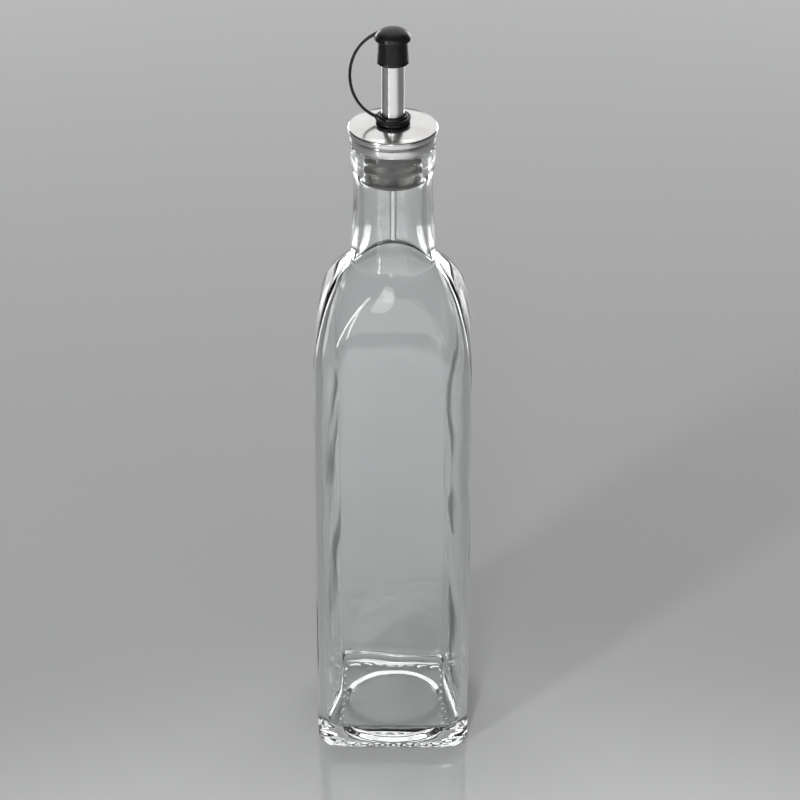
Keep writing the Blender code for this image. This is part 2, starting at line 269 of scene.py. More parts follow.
# Camera, from the photograph's perspective
CAMERA_PLACE = (0.01696, -1.04907, 0.7352)
CAMERA_PITCH = 60.403
CAMERA_YAW = 0.79
CAMERA_LENS = 145.3
CAMERA_SENSOR = 36.0
CAMERA_NEAR = 0.05

# Floor, in metres: its edges, the curve that it rises in, and its paint
FLOOR_SIDE_X = 3.0
FLOOR_FRONT_Y = -3.0
FLOOR_BACK_Y = 2.2
FLOOR_CURVE = 0.6
BACKDROP_TOP_Z = 2.4
FLOOR_COLOUR = (0.44, 0.443, 0.448)
FLOOR_ROUGHNESS = 0.08

# The floor lies this far under the base, so that no faces coincide
FLOOR_GAP = 0.05 * MM

# Faint light from all round
WORLD_COLOUR = (0.86, 0.87, 0.9, 1.0)
WORLD_STRENGTH = 0.1

# The lights surround this height
LIGHT_CENTRE_Z = 0.15

# The two low panels behind, each this far round from straight behind
LOW_PANEL_TURN = 29.0

# Sizes and radiances of the ellipses that make up the key light, brightest in the middle
KEY_STEPS = (((0.06, 0.36), 4.0), ((0.13, 0.62), 3.5), ((0.22, 0.95), 3.0))

# Radius of the spot's source and how much of its cone fades out
POOL_SOURCE = 0.03
POOL_BLEND = 0.7

# Most values of a noise texture lie between these
NOISE_LOW = 0.3
NOISE_HIGH = 0.7


def collection_link(item):
    """Puts an object in the scene, and gives it back."""
    bpy.context.scene.collection.objects.link(item)
    return item


def arc(centre_r, centre_z, radius, start, end, steps):
    """Points of an arc in the (r, z) plane, angles in degrees from +r towards +z."""
    points = []
    for i in range(steps + 1):
        angle = math.radians(start + (end - start) * i / steps)
        points.append((centre_r + radius * math.cos(angle), centre_z + radius * math.sin(angle)))
    return points


def spread(start, end, steps):
    """Even values from start to end, both included."""
    return [start + (end - start) * i / steps for i in range(steps + 1)]


def smooth(part):
    """A smooth step from 0 to 1."""
    return part * part * (3 - 2 * part)


def fade(value, low, high):
    """0 below low, 1 above high, smooth between."""
    return smooth(min(1.0, max(0.0, (value - low) / (high - low))))


def zone(value, limits):
    """1 between the middle two of four limits, 0 outside the outer two, smooth between."""
    start, full, last, end = limits
    return fade(value, start, full) * (1 - fade(value, last, end))


def finished(shape, name, material, nodes, sharp):
    """A smooth shaded object of the shape, riding on the body in place of the CAD nodes."""
    mesh = bpy.data.meshes.new(name)
    shape.to_mesh(mesh)
    shape.free()
    mesh.shade_smooth()
    mesh.set_sharp_from_angle(angle=math.radians(sharp))
    mesh.materials.append(material)
    piece = collection_link(bpy.data.objects.new(name, mesh))
    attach(piece, "root")
    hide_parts(*nodes)
    return piece


# Camera, floor and light


def build_camera():
    """The camera, placed and turned as the photograph's was."""
    data = bpy.data.cameras.new("camera")
    data.lens = CAMERA_LENS
    data.sensor_width = CAMERA_SENSOR
    data.clip_start = CAMERA_NEAR
    camera = collection_link(bpy.data.objects.new("camera", data))
    camera.location = CAMERA_PLACE
    camera.rotation_euler = (math.radians(CAMERA_PITCH), 0.0, math.radians(CAMERA_YAW))
    bpy.context.scene.camera = camera


def plain_material(name, colour, roughness):
    """Paint of one even colour."""
    material = bpy.data.materials.new(name)
    material.use_nodes = True
    shader = material.node_tree.nodes["Principled BSDF"]
    shader.inputs["Base Color"].default_value = (*colour, 1.0)
    shader.inputs["Roughness"].default_value = roughness
    return material


def build_floor():
    """Plain pale floor that rises behind as a curved backdrop, well outside the view."""
    profile = [(FLOOR_FRONT_Y, 0.0), (FLOOR_BACK_Y, 0.0)]
    curve = arc(0.0, FLOOR_CURVE, FLOOR_CURVE, start=-90, end=0, steps=12)
    profile += [(FLOOR_BACK_Y + y, z) for y, z in curve[1:]]
    profile.append((FLOOR_BACK_Y + FLOOR_CURVE, BACKDROP_TOP_Z))
    shape = bmesh.new()
    rows = []
    for side in (-FLOOR_SIDE_X, FLOOR_SIDE_X):
        rows.append([shape.verts.new((side, y, z)) for y, z in profile])
    for i in range(len(profile) - 1):
        shape.faces.new((rows[0][i], rows[1][i], rows[1][i + 1], rows[0][i + 1]))
    mesh = bpy.data.meshes.new("floor")
    shape.to_mesh(mesh)
    shape.free()
    mesh.shade_smooth()
    floor = collection_link(bpy.data.objects.new("floor", mesh))
    floor.data.materials.append(plain_material("floor_paint", FLOOR_COLOUR, FLOOR_ROUGHNESS))
    floor.location.z = -FLOOR_GAP


def soft_panel(name, turn, lift, distance, size, radiance, shape="RECTANGLE"):
    """A soft panel facing the bottle's middle.

    Turn is in degrees from the camera's side towards +X, lift in degrees above level, and radiance
    is how bright the panel itself looks.
    """
    data = bpy.data.lights.new(name, "AREA")
    data.shape = shape
    data.size, data.size_y = size
    area = size[0] * size[1] * (1.0 if shape == "RECTANGLE" else math.pi / 4)
    data.energy = radiance * math.pi * area
    light = collection_link(bpy.data.objects.new(name, data))
    level = distance * math.cos(math.radians(lift))
    x = level * math.sin(math.radians(turn))
    y = -level * math.cos(math.radians(turn))
    away = Vector((x, y, distance * math.sin(math.radians(lift))))
    light.location = away + Vector((0.0, 0.0, LIGHT_CENTRE_Z))
    light.rotation_euler = (-away).to_track_quat("-Z", "Y").to_euler()


def pool_light(name, place, target, cone, power):
    """A spot that fades out towards its edge, for the pool of light on the floor in front."""
    data = bpy.data.lights.new(name, "SPOT")
    data.energy = power
    data.spot_size = math.radians(cone)
    data.spot_blend = POOL_BLEND
    data.shadow_soft_size = POOL_SOURCE
    light = collection_link(bpy.data.objects.new(name, data))
    light.location = place
    aim = Vector(target) - Vector(place)
    light.rotation_euler = aim.to_track_quat("-Z", "Y").to_euler()


def build_world():
    """The same faint light from every side."""
    world = bpy.data.worlds.new("studio")
    world.use_nodes = True
    background = world.node_tree.nodes["Background"]
    background.inputs["Color"].default_value = WORLD_COLOUR
    background.inputs["Strength"].default_value = WORLD_STRENGTH
    bpy.context.scene.world = world


def build_light():
    """Wide dim panels behind and above, two bright low ones behind, and lights in front.

    Those in front are a key, a tall strip, a fill and a pool of light on the floor.
    """
    soft_panel("panel_back", turn=180.0, lift=32.0, distance=2.3, size=(3.2, 2.4), radiance=0.95)
    soft_panel("panel_top", turn=180.0, lift=70.0, distance=1.7, size=(1.4, 1.0), radiance=0.9)
    for name, turn in (
        ("panel_left", LOW_PANEL_TURN - 180.0),
        ("panel_right", 180.0 - LOW_PANEL_TURN),
    ):
        soft_panel(name, turn, lift=5.0, distance=1.4, size=(0.6, 0.42), radiance=6.0)
    for number, (size, radiance) in enumerate(KEY_STEPS):
        soft_panel(f"panel_key_{number}", -5.0, 40.0, 1.6, size, radiance, shape="ELLIPSE")
    soft_panel("panel_strip", turn=-40.0, lift=22.0, distance=1.5, size=(0.14, 1.1), radiance=14.0)
    soft_panel("panel_fill", turn=5.0, lift=22.0, distance=2.2, size=(3.4, 1.6), radiance=0.8)
    pool_light("pool_front", (-0.13, -0.95, 1.3), target=(0.02, -0.6, 0.0), cone=46.0, power=130.0)


# Sections of the glass


def eighth_angles():
    """Polar angles of the outline's points on its first eighth, for the body's own section."""
    flat = BODY_HALF - BODY_CORNER
    angles = [math.atan2(flat * i / FLAT_STEPS, BODY_HALF) for i in range(FLAT_STEPS)]
    for i in range(CORNER_STEPS + 1):
        turn = math.radians(45.0 * i / CORNER_STEPS)
        x = flat + BODY_CORNER * math.cos(turn)
        y = flat + BODY_CORNER * math.sin(turn)
        angles.append(math.atan2(y, x))
    return angles


FIRST_EIGHTH = eighth_angles()
QUARTER = FIRST_EIGHTH + [math.pi / 2 - a for a in reversed(FIRST_EIGHTH[1:-1])]


def section_angles(roundness):
    """Polar angles all round: the body's at roundness 0, evenly spaced on a circle at 1."""
    points = []
    for side in range(4):
        for i, angle in enumerate(QUARTER):
            even = math.pi / 2 * i / len(QUARTER)
            points.append(side * math.pi / 2 + angle * (1 - roundness) + even * roundness)
    return points


def outline_distance(half, corner, angle):
    """Distance from the axis to a rounded square at a polar angle."""
    angle = angle % (math.pi / 2)
    cos, sin = math.cos(angle), math.sin(angle)
    flat = half - corner
    if half * sin <= flat * cos:
        return half / cos
    if half * cos <= flat * sin:
        return half / sin
    return flat * (cos + sin) + math.sqrt(corner**2 - (flat * (cos - sin)) ** 2)


def section_points(half, corner, z):
    """Points round a rounded square, spread evenly where it is a circle."""
    body = BODY_CORNER / BODY_HALF
    roundness = min(1.0, max(0.0, (corner / half - body) / (1 - body)))
    points = []
    for angle in section_angles(roundness):
        distance = outline_distance(half, corner, angle)
        points.append(Vector((distance * math.cos(angle), distance * math.sin(angle), z)))
    return points


def shoulder_half(z, start_half, start_z, rise, run):
    """Half width on the shoulder's curve, which leaves the body upright and ends steep."""
    u = min(1.0, max(0.0, (z - start_z) / rise))
    past = SHOULDER_END_SLOPE * max(0.0, z - start_z - rise)
    return start_half - run * (1 - (1 - u**SHOULDER_POWER) ** (1 / SHOULDER_POWER)) - past


def shoulder_corner(half, z, start_z):
    """Corner radius on the shoulder: it grows until the section is a circle at the neck."""
    part = min(1.0, max(0.0, (z - start_z) / (JUNCTION_Z - start_z)))
    square = BODY_CORNER / BODY_HALF
    return half * (square + (1 - square) * part**CORNER_GROWTH)


def blended(first, second, width):
    """The larger of two radii, rounded off where they come within width of each other."""
    near = max(0.0, 1 - abs(first - second) / width)
    return max(first, second) + width * near**2 / 4


def neck_radius(z):
    """Outside radius of the neck, which widens a little towards the shoulder."""
    part = (NECK_TOP_Z - z) / (NECK_TOP_Z - JUNCTION_Z)
    return NECK_RADIUS + NECK_FLARE * max(0.0, part) ** FLARE_POWER


def bore_radius(z):
    """Inside radius of the neck, which widens like a trumpet towards the shoulder."""
    part = (BORE_FLARE_Z - z) / (BORE_FLARE_Z - JUNCTION_Z)
    return BORE_RADIUS + BORE_FLARE * min(BORE_FLARE_END, max(0.0, part)) ** BORE_FLARE_POWER


def outer_half_width(z):
    """Half width of the outside from the body up to the neck, with a fillet at the neck's foot."""
    shoulder = shoulder_half(z, BODY_HALF, SHOULDER_Z, SHOULDER_RISE, SHOULDER_RUN)
    return blended(shoulder, neck_radius(z), OUTER_FILLET)


def inner_half_width(z):
    """Half width of the inside from the body up to the bore, with a fillet too."""
    shoulder = shoulder_half(z, BODY_HALF - WALL, INNER_SHOULDER_Z, INNER_RISE, INNER_RUN)
    return blended(shoulder, bore_radius(z), INNER_FILLET)


def shoulder_rings(half_at, start_z):
    """(half, corner, z) up a shoulder to the neck, closer together near the neck's foot."""
    near_z = JUNCTION_Z - FOOT_BELOW
    heights = []
    for i in range(SHOULDER_STEPS):
        heights.append(start_z + (near_z - start_z) * math.sin(math.pi / 2 * i / SHOULDER_STEPS))
    heights += spread(near_z, JUNCTION_Z + FOOT_ABOVE, FOOT_STEPS)
    rings = []
    for z in heights:
        half = half_at(z)
        rings.append((half, min(half, shoulder_corner(half, z, start_z)), z))
    return rings


def circle_ring(radius, z):
    """A section whose corner radius is its half width, which makes it a circle."""
    return (radius, radius, z)


def push_up_rings():
    """The hollow under the base, from near its middle out to its edge."""
    rings = []
    for part in spread(PUSH_UP_FIRST, 1.0, steps=7)[:-1]:
        rings.append(circle_ring(PUSH_UP_FLAT * part, PUSH_UP_DEPTH))
    for part in spread(0.0, 1.0, steps=10)[:-1]:
        radius = PUSH_UP_FLAT + (PUSH_UP_RADIUS - PUSH_UP_FLAT) * part
        rings.append(circle_ring(radius, PUSH_UP_DEPTH * (1 - smooth(part))))
    return rings


def bearing_rings():
    """From the push-up's edge out to the heel, with a slight hollow between them."""
    end_half = BODY_HALF - HEEL_RADIUS
    end_corner = BODY_CORNER - HEEL_RADIUS
    rings = []
    for part in spread(0.0, 1.0, steps=22)[:-1]:
        half = PUSH_UP_RADIUS + (end_half - PUSH_UP_RADIUS) * part
        corner = PUSH_UP_RADIUS + (end_corner - PUSH_UP_RADIUS) * part**BEARING_CORNER_POWER
        rings.append((half, corner, BEARING_HOLLOW * math.sin(math.pi * part) ** 2))
    return rings


def finish_rings():
    """The ring under the steel cover and the rim, with soft edges."""
    rings = []
    for part in spread(0.0, 1.0, steps=8)[1:]:
        radius = NECK_RADIUS + (RING_RADIUS - NECK_RADIUS) * smooth(part)
        rings.append(circle_ring(radius, NECK_TOP_Z + (RING_BOTTOM_Z - NECK_TOP_Z) * part))
    edge_z = RING_TOP_Z - RING_EDGE
    rings += [circle_ring(RING_RADIUS, z) for z in spread(RING_BOTTOM_Z, edge_z, steps=4)[1:]]
    profile = arc(RIM_RADIUS, edge_z, RING_RADIUS - RIM_RADIUS, start=20, end=80, steps=3)
    profile.append((RIM_RADIUS, RING_TOP_Z))
    profile += arc(RIM_RADIUS - RIM_EDGE, RIM_Z - RIM_EDGE, RIM_EDGE, start=0, end=90, steps=5)
    rings += [circle_ring(r, z) for r, z in profile]
    return rings


def outer_rings():
    """Sections from the centre of the base, out and up to the rim."""
    rings = push_up_rings() + bearing_rings()
    heel = arc(BODY_HALF - HEEL_RADIUS, HEEL_RADIUS, HEEL_RADIUS, start=-90, end=0, steps=8)
    for half, z in heel:
        rings.append((half, BODY_CORNER - (BODY_HALF - half), z))
    for z in spread(HEEL_RADIUS, SHOULDER_Z, steps=66)[1:-1]:
        rings.append((BODY_HALF, BODY_CORNER, z))
    rings += shoulder_rings(outer_half_width, SHOULDER_Z)
    for z in spread(rings[-1][2], NECK_TOP_Z, steps=12)[1:]:
        rings.append(circle_ring(neck_radius(z), z))
    return rings + finish_rings()


def floor_rings():
    """Sections from the foot of the inner wall to near the middle of the floor."""
    inner_half = BODY_HALF - WALL
    inner_corner = inner_half * BODY_CORNER / BODY_HALF
    ledge_half = inner_half - INNER_HEEL
    rings = []
    for half, z in arc(ledge_half, LEDGE_Z + INNER_HEEL, INNER_HEEL, start=0, end=-90, steps=14):
        part = (inner_half - half) / INNER_HEEL
        rings.append((half, inner_corner + (LEDGE_CORNER - inner_corner) * part, z))
    for part in spread(0.0, 1.0, steps=6)[1:-1]:
        half = ledge_half + (STEP_TOP_RADIUS - ledge_half) * part
        corner = LEDGE_CORNER + (STEP_TOP_RADIUS - LEDGE_CORNER) * part
        rings.append((half, min(half, corner), LEDGE_Z))
    for part in spread(0.0, 1.0, steps=8):
        radius = STEP_TOP_RADIUS + (STEP_FOOT_RADIUS - STEP_TOP_RADIUS) * part
        rings.append(circle_ring(radius, LEDGE_Z + (FLOOR_Z - LEDGE_Z) * smooth(part)))
    for part in spread(1.0, FLOOR_LAST, steps=12)[1:]:
        rings.append(circle_ring(STEP_FOOT_RADIUS * part, FLOOR_Z + FLOOR_BUMP * (1 - part**2)))
    return rings


def inner_rings():
    """Sections from the rim's inner edge, down the bore to the middle of the floor."""
    inner_half = BODY_HALF - WALL
    inner_corner = inner_half * BODY_CORNER / BODY_HALF
    rings = [circle_ring(BORE_RADIUS + RIM_EDGE, RIM_Z)]
    rings.append(circle_ring(BORE_RADIUS + BORE_EDGE, RIM_Z - BORE_EDGE))
    shoulder = shoulder_rings(inner_half_width, INNER_SHOULDER_Z)
    for z in spread(RIM_Z - RIM_EDGE, shoulder[-1][2], steps=24)[:-1]:
        rings.append(circle_ring(bore_radius(z), z))
    rings += reversed(shoulder)
    for z in spread(INNER_SHOULDER_Z, LEDGE_Z + INNER_HEEL, steps=62)[1:-1]:
        rings.append((inner_half, inner_corner, z))
    return rings + floor_rings()


# Surfaces of the glass


def inward(point, depth):
    """The point moved by depth towards the axis."""
    level = Vector((point.x, point.y, 0.0))
    if level.length < depth:
        return point
    return point - level.normalized() * depth


def crown(point):
    """How far the shoulder's corners are drawn in here, so that its sides aren't quite flat."""
    turn = math.atan2(point.y, point.x)
    return SHOULDER_CROWN * zone(point.z, CROWN_ZONE) * (1 - math.cos(4 * turn)) / 2


def outer_surface(point):
    """The pressed outer face, drawn in a little by long low waves."""
    wave = noise.noise(point / OUTER_WAVE_LENGTH + Vector(OUTER_WAVE_PLACE))
    body = zone(point.z, OUTER_WAVE_ZONE)
    return inward(point, OUTER_WAVE * (1 + wave) / 2 * body + crown(point))


def inner_surface(point):
    """The blown inner face: long swells, and shorter ripples on them."""
    stretched = Vector((point.x, point.y, point.z * INNER_WAVE_LIFT))
    swell = noise.noise(stretched / INNER_WAVE_LENGTH + Vector(INNER_WAVE_PLACE))
    ripple = noise.noise(stretched / INNER_RIPPLE_LENGTH + Vector(INNER_RIPPLE_PLACE))
    share = INNER_WAVE_LEAST + (1 - INNER_WAVE_LEAST) * zone(point.z, INNER_WAVE_ZONE)
    uneven = (INNER_WAVE * swell + INNER_RIPPLE * ripple) * share
    return inward(point, uneven + crown(point))


def knurl(point):
    """Lifts the bearing surface into short grooves between the grip ridges."""
    if point.z > BEARING_HOLLOW + WELD:
        return point
    reach = max(abs(point.x), abs(point.y))
    flat = KNURL_HALF - KNURL_CORNER
    over = Vector((max(0.0, abs(point.x) - flat), max(0.0, abs(point.y) - flat)))
    reach = flat + over.length if over.length > 0 else reach
    off = abs(reach - KNURL_HALF) / (KNURL_WIDTH / 2)
    if off >= 1:
        return point
    band = (1 - off**2) ** 0.5
    run = math.atan2(point.y, point.x) * KNURL_HALF * KNURL_MEAN
    comb = 0.5 + 0.5 * math.cos(2 * math.pi * run / KNURL_PITCH)
    return point + Vector((0.0, 0.0, KNURL_DEPTH * band * comb))


def build_glass(material):
    """One closed skin: up the outside, over the rim and down the inside."""
    shape = bmesh.new()
    loops = []
    for half, corner, z in outer_rings():
        points = [knurl(outer_surface(p)) for p in section_points(half, corner, z)]
        loops.append([shape.verts.new(point) for point in points])
    for half, corner, z in inner_rings():
        points = [inner_surface(p) for p in section_points(half, corner, z)]
        loops.append([shape.verts.new(point) for point in points])
    base_centre = shape.verts.new((0.0, 0.0, PUSH_UP_DEPTH))
    floor_centre = shape.verts.new((0.0, 0.0, FLOOR_Z + FLOOR_BUMP))
    count = len(loops[0])
    for i in range(count):
        j = (i + 1) % count
        shape.faces.new((base_centre, loops[0][j], loops[0][i]))
        shape.faces.new((floor_centre, loops[-1][i], loops[-1][j]))
        for low, high in zip(loops, loops[1:]):
            shape.faces.new((low[i], low[j], high[j], high[i]))
    bmesh.ops.recalc_face_normals(shape, faces=shape.faces)
    return finished(shape, "bottle_glass", material, ["bottle"], GLASS_SHARP)


# Turned pieces


def turned(profile, steps, closed=True):
    """A bmesh of an (r, z) profile, down its outer side, turned about Z."""
    shape = bmesh.new()
    axis_limit = 0.01 * MM
    columns = []
    poles = {}
    for i, (r, z) in enumerate(profile):
        if r < axis_limit:
            poles[i] = shape.verts.new((0.0, 0.0, z))
    for step in range(steps):
        turn = 2 * math.pi * step / steps
        column = []
        for i, (r, z) in enumerate(profile):
            if i in poles:
                column.append(poles[i])
            else:
                column.append(shape.verts.new((r * math.cos(turn), r * math.sin(turn), z)))
        columns.append(column)
    last = len(profile) if closed else len(profile) - 1
    for step in range(steps):
        here, there = columns[step], columns[(step + 1) % steps]
        for i in range(last):
            k = (i + 1) % len(profile)
            corners = [here[i], here[k], there[k], there[i]]
            unique = list(dict.fromkeys(corners))
            if len(unique) > 2:
                shape.faces.new(unique)
    bmesh.ops.recalc_face_normals(shape, faces=shape.faces)
    return shape


def cover_height(radius):
    """Top of the cover: flat in the middle, falling away towards the bead."""
    return COVER_TOP_Z - COVER_DROP * (radius / COVER_EDGE_RADIUS) ** COVER_POWER


def build_cover(material):
    """Pressed steel cover: shallow dome, rolled bead, groove and skirt."""
    hole = SPOUT_RADIUS + GAP
    inside = COVER_SKIRT_RADIUS - COVER_SHEET
    roll_r = COVER_RADIUS - BEAD_ROLL
    profile = [(r, cover_height(r)) for r in spread(hole, roll_r - COVER_BEND, steps=28)]
    roll_top_z = cover_height(roll_r) - BEAD_ROLL
    roll_bottom_z = COVER_GROOVE_Z + BEAD_ROLL
    profile += arc(roll_r, roll_top_z, BEAD_ROLL, start=80, end=0, steps=8)
    profile += arc(roll_r, roll_bottom_z, BEAD_ROLL, start=0, end=-80, steps=8)
    groove_r = COVER_SKIRT_RADIUS - GROOVE_DEPTH
    profile += [
        (groove_r, COVER_GROOVE_Z - GROOVE_TOP_DROP),
        (groove_r, COVER_GROOVE_Z - GROOVE_FOOT_DROP),
        (COVER_SKIRT_RADIUS, COVER_GROOVE_Z - GROOVE_END_DROP),
        (COVER_SKIRT_RADIUS, COVER_SKIRT_Z + COVER_SKIRT_EDGE_RISE),
        (COVER_SKIRT_RADIUS - COVER_SKIRT_EDGE, COVER_SKIRT_Z),
        (inside, COVER_SKIRT_Z),
        (inside, cover_height(inside) - 2 * COVER_SHEET),
    ]
    for r in spread(inside - COVER_BEND, hole, steps=10):
        profile.append((r, cover_height(r) - COVER_SHEET))
    shape = turned(profile, COVER_STEPS)
    return finished(shape, "cover_steel", material, ["steel_cover"], COVER_SHARP)


def build_plug(material):
    """Clear plug: a flange on the rim and sealing ribs down the bore."""
    flange_bottom = RIM_Z + GAP
    bore = SPOUT_RADIUS + GAP
    narrow = VENT_RADIUS + GAP
    profile = [
        (bore, PLUG_FLANGE_TOP_Z),
        (PLUG_FLANGE_RADIUS, PLUG_FLANGE_TOP_Z),
        (PLUG_FLANGE_RADIUS, flange_bottom),
        (PLUG_BODY_RADIUS, flange_bottom),
    ]
    for i in reversed(range(RIB_COUNT)):
        z = RIB_LOWEST_Z + RIB_PITCH * i
        profile.append((PLUG_BODY_RADIUS, z + RIB_ROOT))
        profile += arc(RIB_RADIUS - RIB_TIP, z, RIB_TIP, start=75, end=-75, steps=4)
        profile.append((PLUG_BODY_RADIUS, z - RIB_ROOT))
    profile += [
        (PLUG_BODY_RADIUS - PLUG_CHAMFER, PLUG_BOTTOM_Z),
        (narrow, PLUG_BOTTOM_Z),
        (narrow, SPOUT_BOTTOM_Z - GAP),
        (bore, SPOUT_BOTTOM_Z - GAP),
    ]
    shape = turned(profile, TURNED_STEPS)
    return finished(shape, "plug_clear", material, ["plug"], PLUG_SHARP)


def build_tube(name, node, radius, bore, bottom, top, material):
    """A straight steel tube whose outer edges are broken."""
    profile = [
        (bore, top),
        (radius - TUBE_EDGE, top),
        (radius, top - TUBE_EDGE),
        (radius, bottom + TUBE_EDGE),
        (radius - TUBE_EDGE, bottom),
        (bore, bottom),
    ]
    shape = turned(profile, TURNED_STEPS)
    return finished(shape, name, material, [node], TUBE_SHARP)


# Rubber moulding


def collar_shape():
    """Ring round the foot of the spout, with a waist and a raised lip."""
    bore = SPOUT_RADIUS + GAP
    lip_r = bore + COLLAR_LIP_MIDDLE
    lip_z = COLLAR_LIP_Z - COLLAR_LIP_EDGE
    edge_r = COLLAR_RADIUS - COLLAR_EDGE
    edge_z = COLLAR_TOP_Z - COLLAR_EDGE
    profile = [(bore, COLLAR_LIP_Z - COLLAR_LIP_BEVEL)]
    profile += arc(lip_r, lip_z, COLLAR_LIP_EDGE, start=110, end=10, steps=6)
    profile.append((bore + COLLAR_SEAT, COLLAR_TOP_Z - COLLAR_SEAT_DROP))
    profile += arc(edge_r, edge_z, COLLAR_EDGE, start=90, end=-60, steps=8)
    profile += [
        (COLLAR_WAIST, COLLAR_TOP_Z - COLLAR_WAIST_DROP),
        (COLLAR_FOOT, COLLAR_BOTTOM_Z + COLLAR_FOOT_RISE),
        (COLLAR_FOOT, COLLAR_BOTTOM_Z),
        (bore, COLLAR_BOTTOM_Z),
    ]
    return turned(profile, TURNED_STEPS)


def cap_shape():
    """Cap: a shallow domed hood over a sleeve, with a blind bore for the spout's end."""
    bore = SPOUT_RADIUS + GAP
    rim_edge = (HOOD_RIM_TOP_Z - HOOD_RIM_BOTTOM_Z) / 2
    rim_r = HOOD_RADIUS - rim_edge
    rim_z = HOOD_RIM_BOTTOM_Z + rim_edge
    lip_r = SLEEVE_LIP_RADIUS - SLEEVE_LIP_EDGE
    lip_z = SLEEVE_BOTTOM_Z + SLEEVE_LIP_EDGE
    profile = [(0.0, HOOD_APEX_Z)]
    for part in spread(HOOD_FIRST, HOOD_LAST, steps=18):
        height = (1 - part**HOOD_INNER_POWER) ** HOOD_OUTER_POWER
        lift = (HOOD_APEX_Z - HOOD_RIM_TOP_Z) * height
        profile.append((HOOD_RADIUS * part, HOOD_RIM_TOP_Z + lift))
    profile += arc(rim_r, rim_z, rim_edge, start=40, end=-90, steps=10)
    profile += [
        (SLEEVE_TOP_RADIUS, HOOD_RIM_BOTTOM_Z - SLEEVE_ROOT_DROP),
        (SLEEVE_TOP_RADIUS + SLEEVE_SWELL, HOOD_RIM_BOTTOM_Z - SLEEVE_SWELL_DROP),
        (SLEEVE_RADIUS, SLEEVE_BOTTOM_Z + SLEEVE_LIP_RISE),
    ]
    profile += arc(lip_r, lip_z, SLEEVE_LIP_EDGE, start=50, end=-90, steps=7)
    profile += [
        (bore + SLEEVE_MOUTH, SLEEVE_BOTTOM_Z),
        (bore, SLEEVE_BOTTOM_Z + SLEEVE_MOUTH_RISE),
        (bore, SPOUT_TOP_Z + GAP),
        (0.0, SPOUT_TOP_Z + GAP),
    ]
    return turned(profile, TURNED_STEPS, closed=False)


def strap_point(angle):
    """A point of the strap's oval, angle in degrees from its outermost point upwards."""
    turn = math.radians(angle)
    y = STRAP_LEAN * (1 + math.sin(turn)) / 2
    x = STRAP_CENTRE_X - STRAP_REACH * math.cos(turn)
    z = STRAP_CENTRE_Z + STRAP_RISE * math.sin(turn) - y / 2
    return Vector((x, y, z))


def strap_shape():
    """Round strap from the collar to the hood, thicker where it joins them."""
    shape = bmesh.new()
    rings = []
    for part in spread(-1.0, 1.0, STRAP_POINTS - 1):
        centre = strap_point(STRAP_END_ANGLE * part)
        ahead = strap_point(STRAP_END_ANGLE * part + STRAP_AHEAD_ANGLE)
        along = (ahead - centre).normalized()
        across = along.cross(Vector((0.0, 1.0, 0.0))).normalized()
        up = along.cross(across)
        radius = STRAP_RADIUS * (1 + STRAP_END_GROWTH * abs(part) ** STRAP_END_POWER)
        ring = []
        for k in range(STRAP_SIDES):
            turn = 2 * math.pi * k / STRAP_SIDES
            offset = (across * math.cos(turn) + up * math.sin(turn)) * radius
            ring.append(shape.verts.new(centre + offset))
        rings.append(ring)
    for low, high in zip(rings, rings[1:]):
        for k in range(STRAP_SIDES):
            j = (k + 1) % STRAP_SIDES
            shape.faces.new((low[k], low[j], high[j], high[k]))
    shape.faces.new(rings[0])
    shape.faces.new(rings[-1])
    bmesh.ops.recalc_face_normals(shape, faces=shape.faces)
    return shape


def united(whole, other):
    """The mesh of two objects joined by a union."""
    union = whole.modifiers.new("join", "BOOLEAN")
    union.operation = "UNION"
    union.solver = "EXACT"
    union.object = other
    bpy.context.view_layer.update()
    graph = bpy.context.evaluated_depsgraph_get()
    mesh = bpy.data.meshes.new_from_object(whole.evaluated_get(graph))
    whole.modifiers.clear()
    return mesh


def build_rubber(material):
    """The one-piece moulding: the collar, the strap and the cap joined by a union."""
    solids = []
    for name, shape in (
        ("collar", collar_shape()),
        ("strap", strap_shape()),
        ("cap", cap_shape()),
    ):
        mesh = bpy.data.meshes.new(name)
        shape.to_mesh(mesh)
        shape.free()
        solids.append(collection_link(bpy.data.objects.new(name + "_form", mesh)))
    whole = solids[0]
    for other in solids[1:]:
        whole.data = united(whole, other)
    shape = bmesh.new()
    shape.from_mesh(whole.data)
    for solid in solids:
        bpy.data.objects.remove(solid, do_unlink=True)
    bmesh.ops.remove_doubles(shape, verts=shape.verts, dist=WELD)
    return finished(
        shape, "rubber_moulding", material, ["rubber_cap"], RUBBER_SHARP
    )


# Materials


